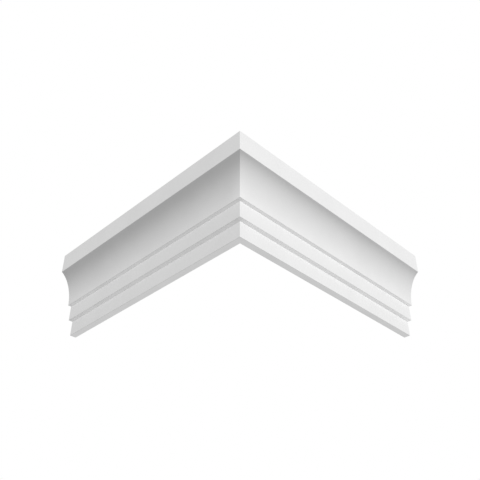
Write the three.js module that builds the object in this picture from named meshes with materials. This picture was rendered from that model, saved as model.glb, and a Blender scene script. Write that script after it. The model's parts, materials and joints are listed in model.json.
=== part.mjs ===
// External corner of a cornice moulding: one moulded piece that turns the outside corner of a building.
// Its section, from the top down, is a flat fascia, a cove, two stepped bands and a flat underside.
// Units are millimetres, +Z is up, and the origin is the middle of the bounding box at the underside.
// One leg faces +X and runs along Y, the other faces -Y and runs along X. Both backs are flat to the wall.

import * as THREE from 'three';

// Driving sizes of the section
const HEIGHT = 100;
const FASCIA_HEIGHT = 23.5;
const COVE_HEIGHT = 40;
const LOWER_BAND_HEIGHT = 18;

// How far each face stands out from the wall
const FASCIA_OUT = 32.5;
const COVE_FOOT_OUT = 16.5;
const UPPER_BAND_OUT = 12.5;
const LOWER_BAND_OUT = 7.5;

// Length of each leg, from the tip of the fascia at the corner to the square cut end
const LEG_LENGTH = 305;
const LEG_COUNT = 2;

// The cove is an arc of an ellipse, which begins at this angle from the ellipse's top
const COVE_START = THREE.MathUtils.degToRad(20);

// Straight facets per half of the cove's arc
const COVE_SEGMENTS = 16;

// Levels of the section's turns, measured up from the underside
const COVE_TOP = HEIGHT - FASCIA_HEIGHT;
const COVE_FOOT = COVE_TOP - COVE_HEIGHT;

// Half axes of the cove's ellipse, so that the arc ends at the fascia's lower edge
const COVE_HALF_WIDTH = (FASCIA_OUT - COVE_FOOT_OUT) / (1 - Math.sin(COVE_START));
const COVE_HALF_HEIGHT = COVE_HEIGHT / Math.cos(COVE_START);

// Length of each leg's back, from the corner of the wall to the cut end
const BACK_LENGTH = LEG_LENGTH - FASCIA_OUT;

// Distance from the corner of the wall to the middle of the bounding box, along X and along Y
const CORNER_TO_MIDDLE = BACK_LENGTH - LEG_LENGTH / 2;

// The section in a plane square to the leg: x is the distance out from the wall, y the height.
function mouldingSection() {
  const section = new THREE.Shape();
  section.moveTo(0, 0);
  section.lineTo(LOWER_BAND_OUT, 0);
  section.lineTo(LOWER_BAND_OUT, LOWER_BAND_HEIGHT);
  section.lineTo(UPPER_BAND_OUT, LOWER_BAND_HEIGHT);
  section.lineTo(UPPER_BAND_OUT, COVE_FOOT);
  section.lineTo(COVE_FOOT_OUT, COVE_FOOT);
  // The cove is upright at its foot and still slopes outwards where it meets the fascia.
  const coveCentre = COVE_FOOT_OUT + COVE_HALF_WIDTH;
  const coveEnd = Math.PI / 2 + COVE_START;
  section.absellipse(coveCentre, COVE_FOOT, COVE_HALF_WIDTH, COVE_HALF_HEIGHT, Math.PI, coveEnd, true);
  section.lineTo(FASCIA_OUT, HEIGHT);
  section.lineTo(0, HEIGHT);
  section.closePath();
  return section;
}

// Folds a straight length, one step for each leg, around the corner of the wall. The first station is the end
// of the leg that faces +X, the next is the mitre, where both legs stand out equally, and the last is the end
// of the leg that faces -Y.
function foldAroundCorner(geometry) {
  const position = geometry.getAttribute('position');
  for (let i = 0; i < position.count; i += 1) {
    const out = position.getX(i);
    const height = position.getY(i);
    const station = Math.round(position.getZ(i));
    const x = station === LEG_COUNT ? -BACK_LENGTH : out;
    const y = station === 0 ? BACK_LENGTH : -out;
    position.setXYZ(i, x, y, height);
  }
  geometry.computeVertexNormals();
  return geometry;
}

// The whole corner as one closed body: the section carried along the first leg, the mitre and the second leg.
function cornerGeometry() {
  const straight = new THREE.ExtrudeGeometry(mouldingSection(), {
    depth: LEG_COUNT,
    steps: LEG_COUNT,
    curveSegments: COVE_SEGMENTS,
    bevelEnabled: false,
  });
  return foldAroundCorner(straight);
}

const primedWhite = new THREE.MeshStandardMaterial({ color: 0xe7e7e7, roughness: 0.86, metalness: 0 });

const corner = new THREE.Mesh(cornerGeometry(), primedWhite);
corner.name = 'cornice_corner';
corner.position.set(CORNER_TO_MIDDLE, -CORNER_TO_MIDDLE, 0);

const cornice = new THREE.Group();
cornice.add(corner);

export default cornice;
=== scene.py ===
"""Looks of a cornice moulding's outside corner: the moulded piece, its primed finish and a pale studio.

Everything is in metres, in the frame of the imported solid: +Z up, one leg facing +X, the other facing -Y.
"""
import json
import math

import bmesh
import bpy
import numpy as np
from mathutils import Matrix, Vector


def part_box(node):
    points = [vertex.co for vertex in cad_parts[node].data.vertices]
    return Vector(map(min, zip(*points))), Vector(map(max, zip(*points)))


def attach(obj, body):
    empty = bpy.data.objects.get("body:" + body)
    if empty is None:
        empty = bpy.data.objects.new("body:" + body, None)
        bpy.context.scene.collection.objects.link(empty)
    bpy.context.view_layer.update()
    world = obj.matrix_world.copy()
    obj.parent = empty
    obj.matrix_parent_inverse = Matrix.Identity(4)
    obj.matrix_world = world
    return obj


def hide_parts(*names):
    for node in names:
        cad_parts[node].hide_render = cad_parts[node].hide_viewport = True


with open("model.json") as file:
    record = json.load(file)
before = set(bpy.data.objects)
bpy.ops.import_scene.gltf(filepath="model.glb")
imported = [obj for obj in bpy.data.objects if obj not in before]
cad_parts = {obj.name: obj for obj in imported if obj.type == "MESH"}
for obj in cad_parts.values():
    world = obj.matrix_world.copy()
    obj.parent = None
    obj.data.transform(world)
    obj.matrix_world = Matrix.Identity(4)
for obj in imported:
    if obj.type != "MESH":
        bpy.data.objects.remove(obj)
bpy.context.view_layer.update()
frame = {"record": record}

NODE = "cornice_corner"

# Places read from the frame: the box, and the two wall planes that the flat backs lie on
LOW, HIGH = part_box(NODE)
MOUNT_POINT = {mount["name"]: mount["pos_m"] for mount in frame["record"]["mounts"]}
WALL_X = MOUNT_POINT["back_of_y_leg"][0]
WALL_Y = MOUNT_POINT["back_of_x_leg"][1]
HEIGHT = HIGH.z - LOW.z
FASCIA_OUT = HIGH.x - WALL_X

# Sizes of the section below the fascia
FASCIA_HEIGHT = 0.0235
COVE_HEIGHT = 0.040
LOWER_BAND_HEIGHT = 0.018
COVE_FOOT_OUT = 0.0165
UPPER_BAND_OUT = 0.0125
LOWER_BAND_OUT = 0.0075
COVE_TOP = HEIGHT - FASCIA_HEIGHT
COVE_FOOT = COVE_TOP - COVE_HEIGHT

# The cove is an arc of an ellipse, which begins at this angle from the ellipse's top
COVE_START = math.radians(20.0)
COVE_HALF_WIDTH = (FASCIA_OUT - COVE_FOOT_OUT) / (1.0 - math.sin(COVE_START))
COVE_HALF_HEIGHT = COVE_HEIGHT / math.cos(COVE_START)

# How far the cove runs out and up for each radian of its ellipse, where it meets the fascia
COVE_RUN = np.array([COVE_HALF_WIDTH * math.cos(COVE_START), COVE_HALF_HEIGHT * math.sin(COVE_START)])
COVE_PACE = np.linalg.norm(COVE_RUN)

# Easing of the edges that a mould and a coat of primer leave
ARRIS_EASE = 0.00025
INNER_EASE = 0.0002

# How finely the mesh is divided, and how near two of its points are merged
TURN_STEPS = 6
COVE_STEPS = 72
LEG_STEPS = 24
SEAM_GAP = 0.000001

# Tones of the finishes, darkest and lightest
PRIMER_TONES = (0.788, 0.810)
RAW_TONES = (0.685, 0.735)
# The pores' darker tone is painted shade in their hollows
PORE_SHADE_TONE = 0.56
FLOOR_TONES = (0.655, 0.675)

# Roughness of the finishes, where the tone is darkest and lightest
PRIMER_ROUGHNESS = (0.90, 0.82)
RAW_ROUGHNESS = (0.90, 0.80)
FLOOR_ROUGHNESS = (0.95, 0.85)

# Relief of the finishes: how many grains, patches, pores or streaks to a metre, and how deep they are
PRIMER_GRAINS = 850.0
PRIMER_PATCHES = 32.0
PRIMER_DEPTH = 0.00006
RAW_GRAINS = 420.0
RAW_PATCHES = 45.0
RAW_PORES = 360.0
RAW_STREAKS_ALONG = 7.0
RAW_STREAKS_ACROSS = 700.0
RAW_DEPTH = 0.00012
FLOOR_GRAINS = 120.0
FLOOR_PATCHES = 3.0

# How much finer detail each noise has, and the part of its values that the tones run over
GRAIN_DETAIL = 3.0
PATCH_DETAIL = 2.0
STREAK_DETAIL = 2.0
PATCH_RANGE = (0.32, 0.68)

# Pores: the values between which a pore's edge rises and a patch fills with pores, and how much sizes differ
PORE_EDGE = (0.30, 0.41)
PORE_PATCH_EDGE = (0.48, 0.58)
PORE_SIZE_SPREAD = 0.40

# Shares of the bare faces' tone (patches, streaks) and of their relief (grain, streaks, pores)
RAW_TONE_SHARES = (0.5, 0.5)
RAW_RELIEF_SHARES = (0.25, 0.25, 0.5)

# Where the photograph was taken from: on the line of the mitre, out from the wall's corner and below the top
CAMERA_OUT = 0.49331
CAMERA_DROP = 0.44496
CAMERA_RISE = math.atan(math.sqrt(0.5))
CAMERA_LENS = 48.6
SENSOR_WIDTH = 36.0

# The studio: an even sky and far soft lights, each with its bearing from +X, its rise, its strength and
# whether it casts a shadow. The photograph shows no cast shadow on the bands, so the main lights cast none.
SKY_STRENGTH = 0.43
LIGHT_DISTANCE = 4.0
LIGHT_SPREAD = 20.0
STUDIO_LIGHTS = {
    "key_from_front": (-29.3, 31.5, 2.68, False),
    "fill_from_behind": (140.0, -13.0, 1.70, False),
    "low_from_the_side": (98.0, -30.0, 0.80, True),
    "overhead": (0.0, 90.0, 0.80, True),
}

# The floor: how far below the object it lies, how wide it is, from where to where it fades out, and how far
# from the object its painted shade reaches
FLOOR_GAP = 0.0005
FLOOR_SPAN = 12.0
FLOOR_FADE = (0.45, 4.0)
FLOOR_PAINTED_SHADE_REACH = 0.08


# Shape


def eased_turn(corner, arriving, leaving, ease):
    """A turn of the section as a short parabola that touches both sides.

    At t, from 0 to 1, the point is the corner, moved back along the arriving side by the easing times
    (1 - t) squared, and forward along the leaving side by the easing times t squared.
    """
    t = np.linspace(0.0, 1.0, TURN_STEPS + 1)[:, None]
    back = (1.0 - t) ** 2 * np.array(arriving)
    forward = t ** 2 * np.array(leaving)
    return np.array(corner) + ease * (forward - back)


def cove_curve():
    """The cove as an arc of an ellipse, upright at its foot and still sloping where it meets the fascia.

    At angle a from the ellipse's top the point stands out by the foot's distance plus half the width times
    (1 - sin a), and its height is the foot plus half the height times cos a. The curve stops short of both
    eased edges.
    """
    foot_angle = math.pi / 2 - ARRIS_EASE / COVE_HALF_HEIGHT
    top_angle = COVE_START + ARRIS_EASE / COVE_PACE
    angle = np.linspace(foot_angle, top_angle, COVE_STEPS + 1)[1:-1]
    out = COVE_FOOT_OUT + COVE_HALF_WIDTH * (1.0 - np.sin(angle))
    height = COVE_FOOT + COVE_HALF_HEIGHT * np.cos(angle)
    return np.stack([out, height], axis=-1)


def section_outline():
    """The closed section as points (out from the wall, height), and whether the stretch after each is round.

    It runs out along the underside, up the stepped bands and the cove to the fascia, back along the top and
    down the wall side. Only round stretches are shaded smooth, so that flat faces stay flat.
    """
    out, up, back = (1.0, 0.0), (0.0, 1.0), (-1.0, 0.0)
    cove_end = COVE_RUN / COVE_PACE
    turns = [
        np.array([[0.0, 0.0]]),
        eased_turn((LOWER_BAND_OUT, 0.0), out, up, ARRIS_EASE),
        eased_turn((LOWER_BAND_OUT, LOWER_BAND_HEIGHT), up, out, INNER_EASE),
        eased_turn((UPPER_BAND_OUT, LOWER_BAND_HEIGHT), out, up, ARRIS_EASE),
        eased_turn((UPPER_BAND_OUT, COVE_FOOT), up, out, INNER_EASE),
        np.concatenate([
            eased_turn((COVE_FOOT_OUT, COVE_FOOT), out, up, ARRIS_EASE),
            cove_curve(),
            eased_turn((FASCIA_OUT, COVE_TOP), cove_end, up, ARRIS_EASE),
        ]),
        eased_turn((FASCIA_OUT, HEIGHT), up, back, ARRIS_EASE),
        np.array([[0.0, HEIGHT]]),
    ]
    points = np.concatenate(turns)
    round_stretch = np.concatenate([np.arange(len(turn)) < len(turn) - 1 for turn in turns])
    return points, round_stretch


def plan_path(out):
    """Where each line of the section runs in plan, as stations from the +Y end round the mitre to the -X end.

    A line that stands out by d runs straight at x = wall + d, turns a quarter circle as wide as the easing
    (never more than d), then runs straight at y = wall - d. Returns x, y and which station steps are round.
    """
    ease = np.minimum(ARRIS_EASE, out)[None, :]
    along = np.linspace(0.0, 1.0, LEG_STEPS + 1)[:, None]
    angle = np.linspace(0.0, math.pi / 2, TURN_STEPS + 1)[1:-1, None]
    face_x = WALL_X + out[None, :]
    face_y = WALL_Y - out[None, :]
    level = np.ones_like(along)
    first_y = HIGH.y + (face_y + ease - HIGH.y) * along
    turn_x = face_x - ease * (1.0 - np.cos(angle))
    turn_y = face_y + ease * (1.0 - np.sin(angle))
    last_x = LOW.x + (face_x - ease - LOW.x) * along[::-1]
    x = np.concatenate([face_x * level, turn_x, last_x])
    y = np.concatenate([first_y, turn_y, face_y * level])
    step = np.arange(len(x) - 1)
    round_step = (step >= LEG_STEPS) & (step < LEG_STEPS + TURN_STEPS)
    return x, y, round_step


def close_seams(mesh):
    """Merges the points that fall together on the wall's corner line and turns every face outwards."""
    shape = bmesh.new()
    shape.from_mesh(mesh)
    bmesh.ops.remove_doubles(shape, verts=shape.verts, dist=SEAM_GAP)
    bmesh.ops.recalc_face_normals(shape, faces=shape.faces)
    shape.to_mesh(mesh)
    shape.free()


def mark_creases(mesh):
    """Marks every edge of a flat face as sharp, so that smooth shading stops there."""
    smooth = np.empty(len(mesh.polygons), dtype=bool)
    mesh.polygons.foreach_get("use_smooth", smooth)
    corners = np.empty(len(mesh.polygons), dtype=np.int32)
    mesh.polygons.foreach_get("loop_total", corners)
    edge_of_corner = np.empty(len(mesh.loops), dtype=np.int32)
    mesh.loops.foreach_get("edge_index", edge_of_corner)
    sharp = np.zeros(len(mesh.edges), dtype=bool)
    sharp[edge_of_corner[np.repeat(~smooth, corners)]] = True
    mesh.edges.foreach_set("use_edge_sharp", sharp)


def moulded_corner(show_finish, fixing_finish):
    """The whole piece: the section carried along the path, as a grid of stations by section points.

    A cap closes each end. The top, the backs and the two cut ends are fixing faces, which take the plainer
    finish.
    """
    points, round_stretch = section_outline()
    out, height = points.T
    x, y, round_step = plan_path(out)
    stations, count = x.shape
    z = LOW.z + np.broadcast_to(height, x.shape)
    places = np.stack([x, y, z], axis=-1).reshape(-1, 3)

    index = np.arange(stations * count).reshape(stations, count)
    here, there = index[:-1], index[1:]
    sides = np.stack([here, np.roll(here, -1, 1), np.roll(there, -1, 1), there], axis=-1).reshape(-1, 4)
    ends = [index[0, ::-1].tolist(), index[-1].tolist()]
    smooth = np.append((round_step[:, None] | round_stretch[None, :]).ravel(), [False, False])
    top_and_back = np.arange(count) >= count - 2
    fixing = np.append(np.broadcast_to(top_and_back, here.shape).ravel(), [True, True])

    mesh = bpy.data.meshes.new("moulded_corner")
    mesh.from_pydata(places.tolist(), [], sides.tolist() + ends)
    mesh.materials.append(show_finish)
    mesh.materials.append(fixing_finish)
    mesh.polygons.foreach_set("use_smooth", smooth)
    mesh.polygons.foreach_set("material_index", fixing.astype(np.int32))
    close_seams(mesh)
    mark_creases(mesh)
    piece = bpy.data.objects.new("moulded_corner", mesh)
    bpy.context.scene.collection.objects.link(piece)
    return piece


# Finishes


def grey(tone):
    """A neutral colour of one tone."""
    return (tone, tone, tone, 1.0)


def noise_value(tree, place, detail):
    """A noise on a given place, as the node itself, so that its scale can be set or linked."""
    noise = tree.nodes.new("ShaderNodeTexNoise")
    noise.inputs["Detail"].default_value = detail
    tree.links.new(place, noise.inputs["Vector"])
    return noise


def spread(tree, value, start, end, to_start, to_end):
    """A value between start and end, stretched to run between two others and held at both."""
    node = tree.nodes.new("ShaderNodeMapRange")
    node.inputs["From Min"].default_value = start
    node.inputs["From Max"].default_value = end
    node.inputs["To Min"].default_value = to_start
    node.inputs["To Max"].default_value = to_end
    tree.links.new(value, node.inputs["Value"])
    return node.outputs["Result"]


def tone_between(tree, mask, start, end, tones):
    """The colour that runs from the first tone to the second as a mask runs from start to end."""
    ramp = tree.nodes.new("ShaderNodeValToRGB")
    for stop, position, tone in zip(ramp.color_ramp.elements, (start, end), tones):
        stop.position = position
        stop.color = grey(tone)
    tree.links.new(mask, ramp.inputs["Fac"])
    return ramp.outputs["Color"]


def weighted_sum(tree, values, weights):
    """The sum of several values, each times its weight."""
    total = None
    for value, weight in zip(values, weights):
        node = tree.nodes.new("ShaderNodeMath")
        node.operation = "MULTIPLY_ADD"
        node.inputs[1].default_value = weight
        node.inputs[2].default_value = 0.0
        tree.links.new(value, node.inputs[0])
        if total is not None:
            tree.links.new(total, node.inputs[2])
        total = node.outputs["Value"]
    return total


def larger_of(tree, first, second):
    """The larger of two values."""
    node = tree.nodes.new("ShaderNodeMath")
    node.operation = "MAXIMUM"
    tree.links.new(first, node.inputs[0])
    tree.links.new(second, node.inputs[1])
    return node.outputs["Value"]


def raise_relief(tree, height, depth, shader):
    """Turns a height from 0 to 1 into a bump of a real depth."""
    bump = tree.nodes.new("ShaderNodeBump")
    bump.inputs["Strength"].default_value = 1.0
    bump.inputs["Distance"].default_value = depth
    tree.links.new(height, bump.inputs["Height"])
    tree.links.new(bump.outputs["Normal"], shader.inputs["Normal"])


def coat_grain_group():
    """Shared effect: the fine grain and the broad patches of a coat, each a value from 0 to 1."""
    group = bpy.data.node_groups.new("coat_grain", "ShaderNodeTree")
    given = group.nodes.new("NodeGroupInput")
    result = group.nodes.new("NodeGroupOutput")
    place = group.nodes.new("ShaderNodeTexCoord")
    effects = (("Grain", "Grains per metre", GRAIN_DETAIL), ("Patches", "Patches per metre", PATCH_DETAIL))
    for effect, count, detail in effects:
        group.interface.new_socket(count, in_out="INPUT", socket_type="NodeSocketFloat")
        group.interface.new_socket(effect, in_out="OUTPUT", socket_type="NodeSocketFloat")
        noise = noise_value(group, place.outputs["Object"], detail)
        group.links.new(given.outputs[count], noise.inputs["Scale"])
        group.links.new(noise.outputs["Fac"], result.inputs[effect])
    return group


def new_finish(name, grains, patches):
    """A new material with the shared grain in it: the material, its tree, its shader and the grain."""
    material = bpy.data.materials.new(name)
    material.use_nodes = True
    tree = material.node_tree
    grain = tree.nodes.new("ShaderNodeGroup")
    grain.node_tree = COAT_GRAIN
    grain.inputs["Grains per metre"].default_value = grains
    grain.inputs["Patches per metre"].default_value = patches
    return material, tree, tree.nodes["Principled BSDF"], grain


def primed_finish():
    """White primer on the faces that show: almost even in tone, matt, with a sprayed coat's fine peel."""
    material, tree, shader, grain = new_finish("white_primer", PRIMER_GRAINS, PRIMER_PATCHES)
    patches = grain.outputs["Patches"]
    tree.links.new(tone_between(tree, patches, *PATCH_RANGE, PRIMER_TONES), shader.inputs["Base Color"])
    tree.links.new(spread(tree, patches, *PATCH_RANGE, *PRIMER_ROUGHNESS), shader.inputs["Roughness"])
    raise_relief(tree, grain.outputs["Grain"], PRIMER_DEPTH, shader)
    return material


def clear_of_pores(tree, place, patches):
    """A mask that is 0 inside a pore and 1 on the surface around it.

    A pore lies where the distance to the nearest of many scattered points, plus a share of that point's
    random value, is small. Only the higher patches have pores.
    """
    pores = tree.nodes.new("ShaderNodeTexVoronoi")
    pores.inputs["Scale"].default_value = RAW_PORES
    tree.links.new(place, pores.inputs["Vector"])
    nearest_point = (pores.outputs["Distance"], pores.outputs["Color"])
    from_pore = weighted_sum(tree, nearest_point, (1.0, PORE_SIZE_SPREAD))
    outside = spread(tree, from_pore, *PORE_EDGE, 0.0, 1.0)
    no_pores = spread(tree, patches, *PORE_PATCH_EDGE, 1.0, 0.0)
    return larger_of(tree, outside, no_pores)


def cut_streaks(tree, place):
    """Level streaks from the cut: a noise drawn out along the leg and set close together up its height."""
    stretch = tree.nodes.new("ShaderNodeMapping")
    stretch.inputs["Scale"].default_value = (RAW_STREAKS_ALONG, RAW_STREAKS_ALONG, RAW_STREAKS_ACROSS)
    tree.links.new(place, stretch.inputs["Vector"])
    streaks = noise_value(tree, stretch.outputs["Vector"], STREAK_DETAIL)
    streaks.inputs["Scale"].default_value = 1.0
    return streaks.outputs["Fac"]


def raw_finish():
    """The bare faces that go to the wall: duller, with streaks from the cut and small pores in patches."""
    material, tree, shader, grain = new_finish("raw_fixing_face", RAW_GRAINS, RAW_PATCHES)
    patches = grain.outputs["Patches"]
    place = tree.nodes.new("ShaderNodeTexCoord").outputs["Object"]
    surface = clear_of_pores(tree, place, patches)
    streaks = cut_streaks(tree, place)

    tone = weighted_sum(tree, (patches, streaks), RAW_TONE_SHARES)
    # Pores take a darker tone, which is painted shade in their hollows; the relief also dents them
    mix = tree.nodes.new("ShaderNodeMixRGB")
    mix.inputs["Color1"].default_value = grey(PORE_SHADE_TONE)
    tree.links.new(surface, mix.inputs["Fac"])
    tree.links.new(tone_between(tree, tone, *PATCH_RANGE, RAW_TONES), mix.inputs["Color2"])
    tree.links.new(mix.outputs["Color"], shader.inputs["Base Color"])
    tree.links.new(spread(tree, tone, *PATCH_RANGE, *RAW_ROUGHNESS), shader.inputs["Roughness"])
    relief = weighted_sum(tree, (grain.outputs["Grain"], streaks, surface), RAW_RELIEF_SHARES)
    raise_relief(tree, relief, RAW_DEPTH, shader)
    return material


def floor_finish():
    """Pale matt paper with painted shade close to the object, which fades out far from it and is clear from
    underneath.

    The clear share is the larger of two: how far the point is from the middle, between the two distances of
    the fade, and whether the floor is seen from its back.
    """
    material, tree, shader, grain = new_finish("pale_floor", FLOOR_GRAINS, FLOOR_PATCHES)
    patches = grain.outputs["Patches"]
    # Painted shade: ambient occlusion darkens the floor's colour close to the object, a contact shadow put
    # into the colour
    painted_contact_shade = tree.nodes.new("ShaderNodeAmbientOcclusion")
    painted_contact_shade.inputs["Distance"].default_value = FLOOR_PAINTED_SHADE_REACH
    tree.links.new(tone_between(tree, patches, *PATCH_RANGE, FLOOR_TONES), painted_contact_shade.inputs["Color"])
    tree.links.new(painted_contact_shade.outputs["Color"], shader.inputs["Base Color"])
    roughness = spread(tree, grain.outputs["Grain"], *PATCH_RANGE, *FLOOR_ROUGHNESS)
    tree.links.new(roughness, shader.inputs["Roughness"])

    place = tree.nodes.new("ShaderNodeTexCoord").outputs["Object"]
    distance = tree.nodes.new("ShaderNodeVectorMath")
    distance.operation = "LENGTH"
    tree.links.new(place, distance.inputs["Vector"])
    far = spread(tree, distance.outputs["Value"], *FLOOR_FADE, 0.0, 1.0)
    side = tree.nodes.new("ShaderNodeNewGeometry")
    unseen = larger_of(tree, far, side.outputs["Backfacing"])
    clear = tree.nodes.new("ShaderNodeBsdfTransparent")
    either = tree.nodes.new("ShaderNodeMixShader")
    tree.links.new(unseen, either.inputs["Fac"])
    tree.links.new(shader.outputs["BSDF"], either.inputs[1])
    tree.links.new(clear.outputs["BSDF"], either.inputs[2])
    tree.links.new(either.outputs["Shader"], tree.nodes["Material Output"].inputs["Surface"])
    return material


# Studio


def studio_sky():
    """White behind the object, and a softer even light on it."""
    world = bpy.data.worlds.new("studio_sky")
    bpy.context.scene.world = world
    world.use_nodes = True
    nodes, links = world.node_tree.nodes, world.node_tree.links
    light = nodes["Background"]
    light.inputs["Color"].default_value = grey(1.0)
    light.inputs["Strength"].default_value = SKY_STRENGTH
    backdrop = nodes.new("ShaderNodeBackground")
    backdrop.inputs["Color"].default_value = grey(1.0)
    seen = nodes.new("ShaderNodeLightPath")
    mix = nodes.new("ShaderNodeMixShader")
    links.new(seen.outputs["Is Camera Ray"], mix.inputs["Fac"])
    links.new(light.outputs["Background"], mix.inputs[1])
    links.new(backdrop.outputs["Background"], mix.inputs[2])
    links.new(mix.outputs["Shader"], nodes["World Output"].inputs["Surface"])


def soft_light(name, bearing, rise, strength, casts_shadow):
    """An even light from a wide soft box far away, which shines on the object from its bearing and rise."""
    data = bpy.data.lights.new(name, "SUN")
    data.angle = math.radians(LIGHT_SPREAD)
    data.energy = strength
    data.use_shadow = casts_shadow
    light = bpy.data.objects.new(name, data)
    bpy.context.scene.collection.objects.link(light)
    turn, lift = math.radians(bearing), math.radians(rise)
    away = Vector((math.cos(lift) * math.cos(turn), math.cos(lift) * math.sin(turn), math.sin(lift)))
    light.location = (LOW + HIGH) / 2 + away * LIGHT_DISTANCE
    light.rotation_euler = away.to_track_quat("Z", "Y").to_euler()


def photo_camera():
    """The camera on the line of the mitre, below the corner, looking up along it."""
    data = bpy.data.cameras.new("photo_camera")
    data.lens = CAMERA_LENS
    data.sensor_width = SENSOR_WIDTH
    camera = bpy.data.objects.new("photo_camera", data)
    bpy.context.scene.collection.objects.link(camera)
    mitre = Vector((1.0, -1.0, 0.0)).normalized()
    look = Vector((0.0, 0.0, math.sin(CAMERA_RISE))) - mitre * math.cos(CAMERA_RISE)
    camera.location = Vector((WALL_X, WALL_Y, HIGH.z - CAMERA_DROP)) + mitre * CAMERA_OUT
    camera.rotation_euler = look.to_track_quat("-Z", "Y").to_euler()
    bpy.context.scene.camera = camera


def pale_floor():
    """A wide level floor just under the object, which takes its shadow.

    The photograph looks up from below the floor, so the floor is clear from underneath, and it neither
    stops the light from below nor throws light up: the object is lit as it is where it hangs free.
    """
    half = FLOOR_SPAN / 2
    edge = np.array([[-half, -half], [half, -half], [half, half], [-half, half]])
    places = np.column_stack([edge, np.full(len(edge), LOW.z - FLOOR_GAP)])
    mesh = bpy.data.meshes.new("floor")
    mesh.from_pydata(places.tolist(), [], [[0, 1, 2, 3]])
    mesh.materials.append(floor_finish())
    floor = bpy.data.objects.new("floor", mesh)
    floor.visible_diffuse = False
    floor.visible_glossy = False
    floor.visible_transmission = False
    floor.visible_shadow = False
    bpy.context.scene.collection.objects.link(floor)


COAT_GRAIN = coat_grain_group()
photo_camera()
studio_sky()
pale_floor()
for light_name, light_setting in STUDIO_LIGHTS.items():
    soft_light(light_name, *light_setting)

corner = moulded_corner(primed_finish(), raw_finish())
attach(corner, "root")
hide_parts(NODE)

bpy.context.scene.view_settings.view_transform = "Standard"
